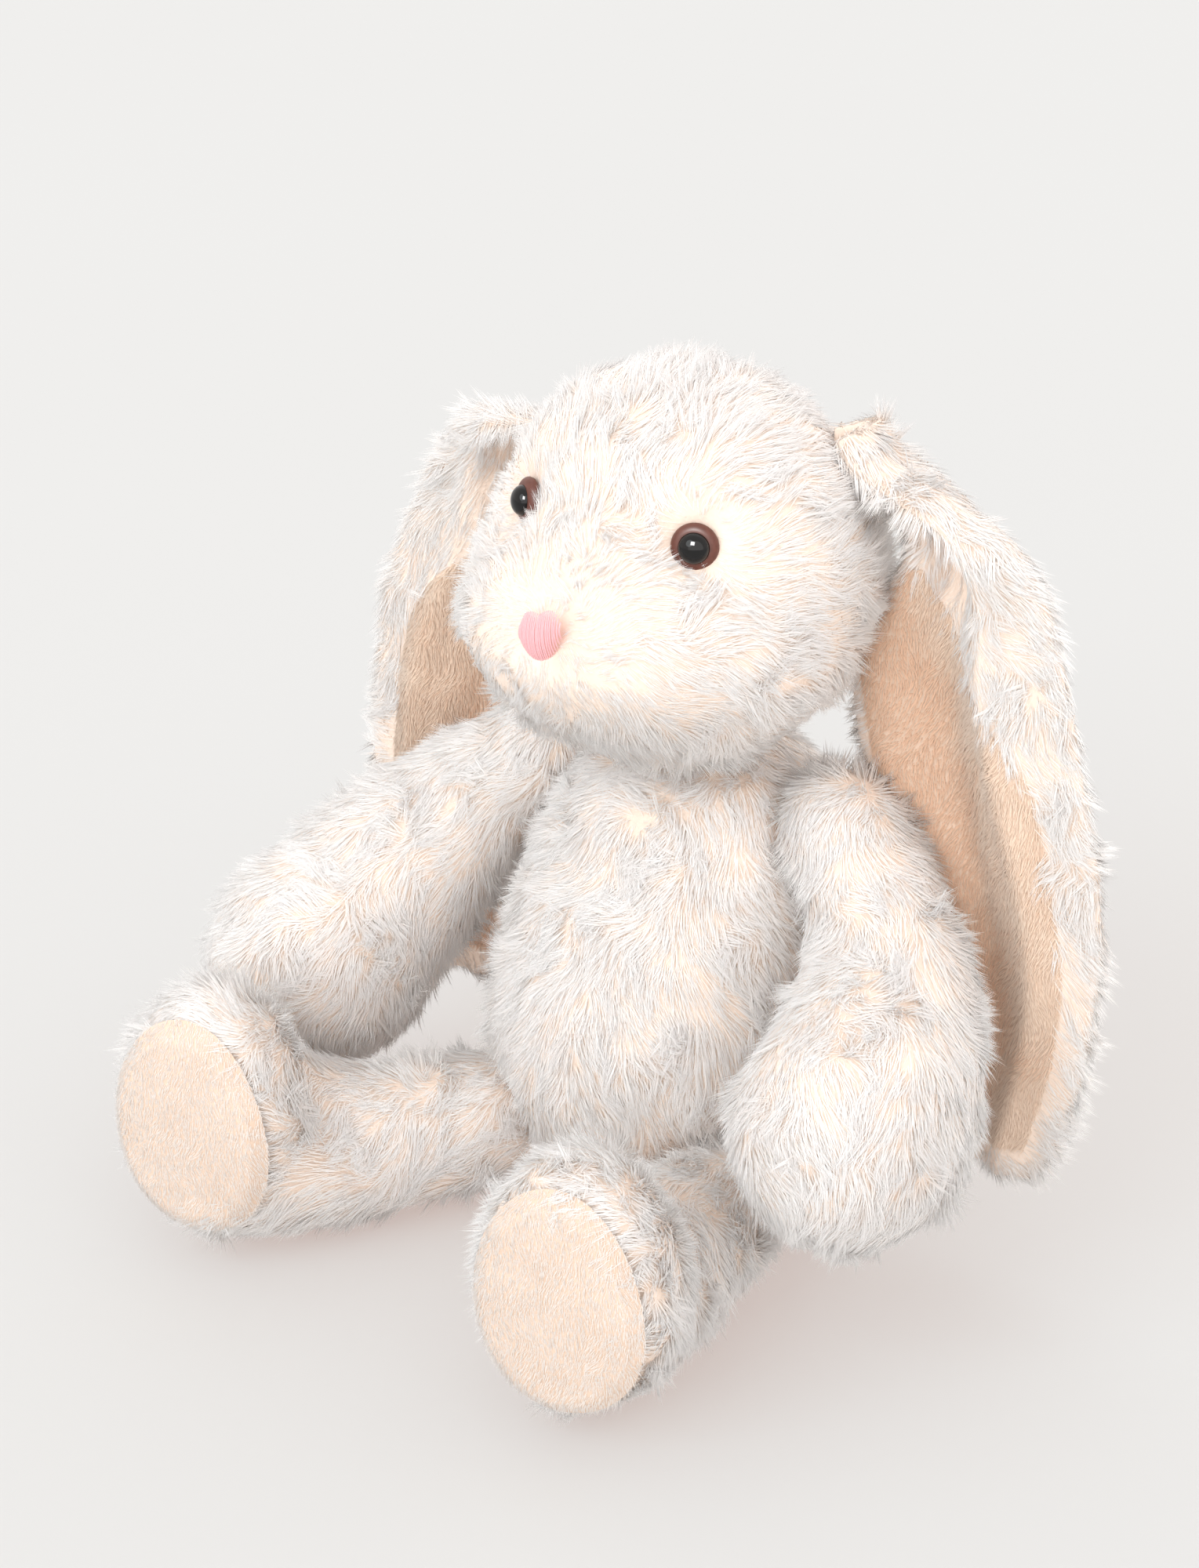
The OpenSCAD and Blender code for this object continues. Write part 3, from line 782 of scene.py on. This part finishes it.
def lining_edge(v):
    """Outer edge of the lining across the ear at place v along; it starts as a point beside the cheek."""
    return LINING_FROM + (LINING_TO - LINING_FROM) * smooth((v - LINING_TOP + 0.06) / 0.34)


def tuck(v):
    """How far the ear reaches in behind the cheek at place v along."""
    return 27 * MM * smooth((v - 0.1) / 0.24) * (1 - 0.85 * smooth((v - 0.42) / 0.34))


def ear_bend(s, v):
    """How far the ear's cloth is folded back (above 0) or forward at place s across and v along."""
    upper = 1 - smooth((v - 0.35) / 0.5)
    valley = np.exp(-(((s - 0.36) / 0.17) ** 2))
    ridge = np.exp(-(((s - 0.66 + 0.04 * np.sin(v * 9)) / 0.08) ** 2))
    wave = np.sin(v * 15 + 5 * s) * 0.7 * MM
    return (valley * (3.0 + 7.0 * upper) - ridge * (1.6 + 2.6 * upper) - 2.0) * MM + wave


def ear_point(row, sign, s, lift, v):
    """A point of the ear: s across from the head side outwards, lift in front of the middle."""
    z, inner, outer, depth = row
    swing = (8 * MM if sign < 0 else 0) * smooth(v / 0.45)
    outer = inner + (outer - inner) * (0.3 + 0.7 * smooth(v / 0.14))
    inner, outer = inner - tuck(v) + swing, outer + swing
    droop = (12 if sign < 0 else 2) * MM * (1 - smooth(v / 0.16)) ** 1.5
    return (sign * (inner + (outer - inner) * s), depth + ear_bend(s, v) - lift, z - droop)


def ear_fat(v):
    """Half the thickness of the ear at place v along, in millimetres."""
    return 2.2 + 1.6 * math.sin(math.pi * v) ** 0.5


def make_ear_back(side, rows, sign):
    """The padded plush back of an ear, with a rolled rim."""
    points = []
    for i, row in enumerate(rows):
        v = i / (EAR_ROWS - 1)
        fat = (ear_fat(v) + 3.0 * (1 - smooth(v / 0.22))) * MM
        for k in range(EAR_AROUND):
            angle = 2 * math.pi * k / EAR_AROUND
            s = 0.5 - 0.5 * math.cos(angle)
            lift = math.sin(angle) * fat
            points.append(ear_point(row, sign, s, lift, v))
    faces = tube_faces(0, EAR_ROWS, EAR_AROUND)
    faces[-2] = faces[-2][::-1]
    back = new_piece(f"{side}_ear_cloth", points, faces)
    outward(back)
    co, out = coords(back), normals(back)
    s = np.tile(0.5 - 0.5 * np.cos(2 * math.pi * np.arange(EAR_AROUND) / EAR_AROUND), EAR_ROWS)
    v = np.repeat(np.linspace(0, 1, EAR_ROWS), EAR_AROUND)
    front = smooth(-out[:, 1] / 0.3)
    lined = smooth((s - LINING_FROM) / 0.06) * (1 - smooth((s - lining_edge(v)) / 0.06))
    lined = lined * smooth((v - LINING_TOP) / 0.03) * (1 - smooth((v - 0.955) / 0.02))
    give(back, "cover", 1 - front * lined)
    rim = 0.62 + 0.38 * smooth((s - 0.55) / 0.3) * front + 0.1 * (1 - front)
    give(back, "pile", rim + 0.3 * (1 - smooth(v / 0.3)))
    # Painted shade: the front of the ear is tinted warmer and darker beside the head, in the fold by the cheek.
    give(back, "warmth", 0.25 * front * (1 - smooth((s - 0.2) / 0.3)))
    sideways = np.stack([sign * (s - 0.5) * 1.6, np.zeros(len(co)), np.full(len(co), -0.8)], axis=1)
    give(back, "lie", cross_flow(sideways, out))
    return back


def make_ear_lining(side, rows, sign):
    """The velour lining let into an ear's front."""
    points, faces = [], []
    across = LINING_ACROSS
    for i, row in enumerate(rows):
        v = i / (EAR_ROWS - 1)
        if not LINING_TOP - 0.01 <= v <= 0.965:
            continue
        for k in range(across + 1):
            share = k / across
            s = LINING_FROM - 0.02 + (lining_edge(v) - LINING_FROM + 0.04) * share
            edge = ear_fat(v) * MM * math.sin(math.acos(1 - 2 * s))
            lift = edge + 0.7 * MM * math.sin(math.pi * share) ** 0.3
            points.append(ear_point(row, sign, s, lift, v))
    count = len(points) // (across + 1)
    for i in range(count - 1):
        for k in range(across):
            a = i * (across + 1) + k
            faces.append((a, a + 1, a + across + 2, a + across + 1))
    lining = new_piece(f"{side}_ear_lining_cloth", points, faces)
    turn_to(lining, (0, -1, 0))
    co, out = coords(lining), normals(lining)
    give(lining, "cover", np.ones(len(co)))
    give(lining, "pile", np.ones(len(co)))
    # Painted shade: the lining is tinted warmer and darker towards the head, in its fold by the cheek.
    give(lining, "warmth", np.tile(0.9 * (1 - smooth(np.linspace(-0.1, 1.4, across + 1))), count))
    give(lining, "lie", cross_flow(down(len(co)), out))
    return lining


def outward(piece):
    """Turns a closed piece's faces outwards."""
    mesh = bmesh.new()
    mesh.from_mesh(piece.data)
    bmesh.ops.remove_doubles(mesh, verts=mesh.verts, dist=0.001 * MM)
    bmesh.ops.recalc_face_normals(mesh, faces=mesh.faces)
    mesh.to_mesh(piece.data)
    mesh.free()
    piece.data.update()


def turn_to(piece, direction):
    """Turns an open sheet's faces towards a direction."""
    mesh = piece.data
    total = sum((p.normal * p.area for p in mesh.polygons), Vector())
    if total.dot(Vector(direction)) < 0:
        mesh.flip_normals()
        mesh.update()


# ---------------------------------------------------------------- soles
SOLE_RINGS = 14
SOLE_AROUND = 48


def make_sole(side):
    """One crowned, egg-shaped velour sole."""
    centre, face, up, across, tall, wide, proud = sole_frame(side)
    points, faces = [tuple(centre + face * (proud + 2.2 * MM))], []
    for i in range(1, SOLE_RINGS + 1):
        r = i / SOLE_RINGS
        for k in range(SOLE_AROUND):
            angle = 2 * math.pi * k / SOLE_AROUND
            y = math.sin(angle) * r * tall * 1.04
            x = math.cos(angle) * r * wide * (1.06 - 0.1 * math.sin(angle))
            dimple = 0.5 * MM * math.sin(3 * angle + 1) * r * r
            crown = proud + 2.2 * MM * (1 - r**2.4) - 2.4 * MM * max(0.0, r - 0.86) / 0.14 + dimple
            points.append(tuple(centre + across * x + up * y + face * crown))
    for k in range(SOLE_AROUND):
        faces.append((0, 1 + k, 1 + (k + 1) % SOLE_AROUND))
    for i in range(SOLE_RINGS - 1):
        for k in range(SOLE_AROUND):
            a, b = 1 + i * SOLE_AROUND + k, 1 + i * SOLE_AROUND + (k + 1) % SOLE_AROUND
            faces.append((a, a + SOLE_AROUND, b + SOLE_AROUND, b))
    sole = new_piece(f"{side}_sole_cloth", points, faces)
    turn_to(sole, face)
    co, out = coords(sole), normals(sole)
    give(sole, "cover", np.ones(len(co)))
    give(sole, "pile", np.ones(len(co)))
    give(sole, "warmth", np.zeros(len(co)))
    give(sole, "lie", cross_flow(down(len(co)) + np.array([0.3, 0, 0]), out))
    return sole


# ---------------------------------------------------------------- face
def lathe(name, profile, place, axis, around=48):
    """A turned piece: (radius, height) pairs from its back edge to its top, round an axis."""
    axis = np.array(Vector(axis).normalized())
    side = unit(np.cross(axis, (0.0, 0.0, 1.0)))
    up = np.cross(side, axis)
    points = []
    for radius, height in profile:
        for k in range(around):
            angle = 2 * math.pi * k / around
            spoke = (side * math.cos(angle) + up * math.sin(angle)) * radius
            points.append(tuple(np.array(place) + axis * height + spoke))
    piece = new_piece(name, points, tube_faces(0, len(profile), around))
    outward(piece)
    return piece


def on_cloth(place):
    """The nearest point of the head's cloth."""
    return np.array(tree_of(bpy.data.objects["head_cloth"]).find_nearest(Vector(place))[0])


def make_eye(side):
    """A safety eye: a brown flange and a black glossy dome, raised to stand in the pile."""
    rim, dome = node_points(f"{side}_eye_flange"), node_points(f"{side}_eye_pupil")
    axis = unit(dome.mean(0) - rim.mean(0))
    from_axis = dome.mean(0) + (rim - dome.mean(0)) @ axis[:, None] * axis
    radius = np.linalg.norm(rim - from_axis, axis=1).max() * 0.95
    seat = on_cloth(dome.mean(0))
    place = dome.mean(0) + axis * (float((seat - dome.mean(0)) @ axis) + 1.6 * MM)
    flange = [(radius * 0.2, -2.5 * MM), (radius * 0.96, -1.6 * MM), (radius, -0.9 * MM)]
    for k in range(1, 9):
        angle = math.pi / 2 * k / 9
        flange.append((radius * (0.62 + 0.38 * math.cos(angle)), -0.9 * MM + 1.9 * MM * math.sin(angle)))
    flange += [(radius * 0.6, 0.95 * MM), (radius * 0.4, 0.9 * MM)]
    pupil_r = radius * 0.66
    pupil = [(pupil_r * 0.98, 0.2 * MM)]
    for k in range(14):
        angle = math.pi / 2 * k / 14
        pupil.append((pupil_r * math.cos(angle), 0.7 * MM + 2.9 * MM * math.sin(angle)))
    pupil.append((pupil_r * 0.03, 3.6 * MM))
    return lathe(f"{side}_eye_rim", flange, place, axis), lathe(f"{side}_eye_dome", pupil, place, axis, 64)


def heart_edge(x):
    """Upper and lower edge of the nose at place x across, both in half heights; x runs from -1 to 1."""
    lobe = abs(x)
    upper = 0.8 + 0.13 * math.sin(math.pi * min(1.0, lobe * 1.15)) - 0.42 * (max(0.0, lobe - 0.62) / 0.38) ** 2
    lower = -1.0 + 0.95 * lobe**2.3
    return upper, min(lower, upper - 0.05)


def make_nose():
    """The nose in satin stitch: upright floss threads side by side, domed as if over a small pad."""
    low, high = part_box("nose_stitching")
    centre = (low + high) / 2
    wide, tall = (high.x - low.x) / 2 * 1.06, (high.z - low.z) / 2 * 1.24
    front = on_cloth(centre)[1] - 3.4 * MM
    lean, shear, crown_height = 0.08, 0.28, 2.6 * MM
    rows, steps, around = 23, 14, 8
    points, faces = [], []
    for j in range(rows):
        x = -1 + 2 * (j + 0.5) / rows
        upper, lower = heart_edge(x)
        faces += tube_faces(len(points), steps + 1, around)
        wobble = 0.12 * math.sin(j * 2.4)
        for i in range(steps + 1):
            t = i / steps
            h = upper + (lower - upper) * t
            end = math.sin(math.pi * min(1, max(0, t * 0.96 + 0.02))) ** 0.35
            crown = crown_height * (1 - 0.55 * x * x - 0.35 * h * h) * end
            core = Vector(
                (
                    centre.x + wide * (x + wobble / rows * 2 * math.sin(math.pi * t)),
                    front + lean * tall * -h + crown_height - crown,
                    centre.z + tall * h + shear * wide * x,
                )
            )
            size = wide / rows * (0.35 + 0.65 * end)
            for k in range(around):
                angle = 2 * math.pi * k / around
                points.append(tuple(core + Vector((math.cos(angle) * size, math.sin(angle) * size * 0.8, 0))))
    nose = new_piece("nose_floss", points, faces)
    outward(nose)
    return nose


# ---------------------------------------------------------------- stage
FLOOR_SIZE = 6.0
# Painted light: the floor glows peach, which lightens and warms the shadows cast on it.
FLOOR_GLOW = (0.455, 0.345, 0.315, 1)
SKY, SKY_STRENGTH = (1.0, 0.952, 0.93, 1), 1.12
TARGET = Vector((0, -0.030, 0.110))
SUNS = (
    # name, to the right, away from the camera, up, angle, energy, colour
    ("key", -0.75, -0.85, 0.8, 42, 0.9, (0.92, 1.0, 1.04)),
    ("back", 0.3, 1.0, 0.7, 90, 0.45, (1.0, 0.99, 0.99)),
    ("fill", 0.1, -1.0, 0.15, 90, 1.35, (0.99, 0.98, 0.98)),
)


def make_floor():
    """A pale floor that gives off a little of its own light, and the world's light."""
    size = FLOOR_SIZE
    corners = [(-size, -size, 0), (size, -size, 0), (size, size, 0), (-size, size, 0)]
    floor = new_piece("floor", corners, [(0, 1, 2, 3)])
    material, tree, shader = new_material("studio floor")
    place = wire(tree, "ShaderNodeTexCoord").outputs["Object"]
    cloud = wire(tree, "ShaderNodeTexNoise", {"Vector": place, "Scale": 3.0, "Detail": 2.0})
    base = tuple(settings().rabbit_colours.floor)
    tone = ramp(tree, cloud.outputs["Fac"], [(0.3, shade(base, 0.995)), (0.7, shade(base, 1.005))])
    look = {"Base Color": tone, "Roughness": 0.95, "Specular IOR Level": 0.0}
    feed(tree, shader, {**look, "Emission Color": FLOOR_GLOW, "Emission Strength": 1.0})
    floor.data.materials.append(material)
    world = bpy.data.worlds.new("studio")
    bpy.context.scene.world = world
    world.use_nodes = True
    feed(world.node_tree, world.node_tree.nodes["Background"], {"Color": SKY, "Strength": SKY_STRENGTH})


def place_at(item, place, direction, forward):
    """Puts an object at a place with its forward axis along a direction."""
    item.location = place
    item.rotation_mode = "QUATERNION"
    item.rotation_quaternion = direction.to_track_quat(forward, "Y")


def make_camera(back):
    """The camera, which stands back from the rabbit along a direction."""
    data = bpy.data.cameras.new("camera")
    data.sensor_fit, data.sensor_width, data.sensor_height = "VERTICAL", 36.0, 36.0
    data.lens = 90.3
    data.shift_x, data.shift_y = -32 / 2000, 62 / 2000
    data.clip_start, data.clip_end = 0.05, 20
    camera = linked("camera", data)
    place_at(camera, TARGET + back * settings().rabbit_camera.distance, -back, "-Z")
    bpy.context.scene.camera = camera


def make_lights(back, ahead, right):
    """Three wide suns and a window that the eyes reflect."""
    for name, along, towards, height, angle, power, tone in SUNS:
        lamp = bpy.data.lights.new(name, "SUN")
        lamp.angle, lamp.energy, lamp.color = math.radians(angle), power, tone
        source = right * along + ahead * towards + Vector((0, 0, height))
        place_at(linked(name, lamp), (0, 0, 0), source, "Z")
    window = bpy.data.lights.new("window", "AREA")
    window.shape, window.size, window.size_y, window.energy = "RECTANGLE", 0.5, 0.5, 26
    holder = linked("window", window)
    holder.visible_diffuse = False
    spot = TARGET + back * 1.1 - right * 0.3 + Vector((0, 0, 0.4))
    place_at(holder, spot, spot - TARGET, "Z")


def make_stage():
    """Pale floor, soft light and the camera."""
    view = settings().rabbit_camera
    a, e = view.azimuth, view.elevation
    back = Vector((math.sin(a) * math.cos(e), -math.cos(a) * math.cos(e), math.sin(e)))
    make_floor()
    make_camera(back)
    make_lights(back, Vector((-math.sin(a), math.cos(a), 0)), Vector((math.cos(a), math.sin(a), 0)))
    scene = bpy.context.scene
    scene.cycles.diffuse_bounces = 8
    scene.view_settings.view_transform = "Standard"
    scene.view_settings.look = "None"


# ---------------------------------------------------------------- operators
def long_pile(look, length, seed, calm=1.0):
    """What the long pile is grown with; a calm below 1 lies flatter."""
    lie = dict(lift=look.lift * calm, swirl=look.swirl * calm, swirl_size=look.swirl_size, parting=look.parting)
    return dict(lie, tufts_per_area=look.tufts, length=length, seed=seed)


def short_nap(nap, seed, more, longer, lift, swirl, swirl_size):
    """What a nap is grown with; more and longer are against the settings."""
    lie = dict(lift=lift, swirl=swirl, swirl_size=swirl_size, parting=0.5)
    return dict(lie, tufts_per_area=nap.tufts * more, length=nap.length * longer, seed=seed)


class RABBIT_OT_finishes(bpy.types.Operator):
    """Make every material and dress the solids that stay as they are"""

    bl_idname = "rabbit.finishes"
    bl_label = "Finishes"

    def execute(self, context):
        make_materials()
        plain = {"bean_bag": "pellet bag", "washer": "washer", "seam": "sewing thread"}
        for name, node in frame["nodes"].items():
            for ending, material in plain.items():
                if name.endswith(ending):
                    node.data.materials.clear()
                    node.data.materials.append(bpy.data.materials[material])
        return {"FINISHED"}


class RABBIT_OT_plush(bpy.types.Operator):
    """Stuff the body, head, tail and limbs and grow their pile"""

    bl_idname = "rabbit.plush"
    bl_label = "Plush parts"

    def execute(self, context):
        look = context.scene.rabbit_pile
        tuft_mesh("tuft", TUFT_STRANDS, look.width / look.length, 0.15, 0.95, 0.34, 3)
        forms = {part: make_form(part) for part in FORMS}
        trees = {part: tree_of(form) for part, form in forms.items()}
        for number, (part, form) in enumerate(forms.items()):
            mark_form(part, forms, trees)
            body = "body" if part == "tail" else part
            length = look.head_length if part == "head" else look.length
            finish(form, "plush backing", body, [f"{part}_skin", f"{part}_filling"])
            lie = long_pile(look, length, 11 + number)
            grow_pile(f"{part}_pile", form, body, "plush", "tuft", "plush pile", **lie)
        return {"FINISHED"}


class RABBIT_OT_ears(bpy.types.Operator):
    """Make both hanging ears, plush behind and velour in front"""

    bl_idname = "rabbit.ears"
    bl_label = "Ears"

    def execute(self, context):
        look, nap = context.scene.rabbit_pile, context.scene.rabbit_velour
        tuft_mesh("nap", 1, nap.width / nap.length, 0.2, 0.6, 0.4, 8)
        for number, side in enumerate(SIDES):
            rows, sign = ear_slices(f"{side}_ear_back", EAR_ROWS)
            back, lining = make_ear_back(side, rows, sign), make_ear_lining(side, rows, sign)
            body = f"{side}_ear"
            finish(back, "plush backing", body, [f"{side}_ear_back"])
            lie = long_pile(look, look.head_length, 31 + number, 0.8)
            grow_pile(f"{side}_ear_pile", back, body, "plush", "tuft", "plush pile", **lie)
            finish(lining, "velour backing", body, [f"{side}_ear_lining"])
            lie = short_nap(nap, 41 + number, 1, 1, 0.9, 1.2, 11 * MM)
            grow_pile(f"{side}_ear_nap", lining, body, "velour", "nap", "velour nap", **lie)
        return {"FINISHED"}


class RABBIT_OT_soles(bpy.types.Operator):
    """Make both velour soles"""

    bl_idname = "rabbit.soles"
    bl_label = "Soles"

    def execute(self, context):
        nap = context.scene.rabbit_velour
        for number, side in enumerate(SIDES):
            sole = make_sole(side)
            finish(sole, "velour backing", f"{side}_leg", [f"{side}_foot_sole"])
            lie = short_nap(nap, 51 + number, 1.3, 0.65, 1.1, 1.3, 9 * MM)
            grow_pile(f"{side}_sole_nap", sole, f"{side}_leg", "velour", "nap", "sole nap", **lie)
        return {"FINISHED"}


class RABBIT_OT_face(bpy.types.Operator):
    """Make the eyes and the stitched nose"""

    bl_idname = "rabbit.face"
    bl_label = "Face"

    def execute(self, context):
        for side in SIDES:
            rim, dome = make_eye(side)
            finish(rim, "eye rim", "head", [f"{side}_eye_flange"])
            finish(dome, "eye black", "head", [f"{side}_eye_pupil"])
        nose = make_nose()
        finish(nose, "nose floss", "head", ["nose_stitching"])
        return {"FINISHED"}


class RABBIT_OT_stage(bpy.types.Operator):
    """Make the floor, the light and the camera"""

    bl_idname = "rabbit.stage"
    bl_label = "Stage"

    def execute(self, context):
        make_stage()
        return {"FINISHED"}


STEPS = (
    RABBIT_OT_finishes,
    RABBIT_OT_plush,
    RABBIT_OT_ears,
    RABBIT_OT_soles,
    RABBIT_OT_face,
    RABBIT_OT_stage,
)


class RABBIT_PT_panel(bpy.types.Panel):
    """Lists the rabbit's settings and its steps"""

    bl_idname = "RABBIT_PT_panel"
    bl_label = "Plush Rabbit"
    bl_space_type = "VIEW_3D"
    bl_region_type = "UI"
    bl_category = "Plush Rabbit"

    def draw(self, context):
        for group in GROUPS:
            box = self.layout.box()
            values = getattr(context.scene, group)
            for name in GROUPS[group].__annotations__:
                box.prop(values, name)
        for step in STEPS:
            self.layout.operator(step.bl_idname)


GROUPS = {
    "rabbit_pile": PileSettings,
    "rabbit_velour": VelourSettings,
    "rabbit_colours": ColourSettings,
    "rabbit_camera": CameraSettings,
}


def register():
    """Adds the settings, the steps and the panel."""
    for name, group in GROUPS.items():
        bpy.utils.register_class(group)
        setattr(bpy.types.Scene, name, bpy.props.PointerProperty(type=group))
    for step in STEPS:
        bpy.utils.register_class(step)
    bpy.utils.register_class(RABBIT_PT_panel)


def unregister():
    """Takes them away again."""
    bpy.utils.unregister_class(RABBIT_PT_panel)
    for step in reversed(STEPS):
        bpy.utils.unregister_class(step)
    for name, group in GROUPS.items():
        delattr(bpy.types.Scene, name)
        bpy.utils.unregister_class(group)


def main():
    """Builds the whole rabbit."""
    register()
    for step in STEPS:
        family, action = step.bl_idname.split(".")
        getattr(getattr(bpy.ops, family), action)()
    for name in ("tuft", "nap"):
        bpy.data.objects.remove(bpy.data.objects[name])


if __name__ == "__main__":
    main()
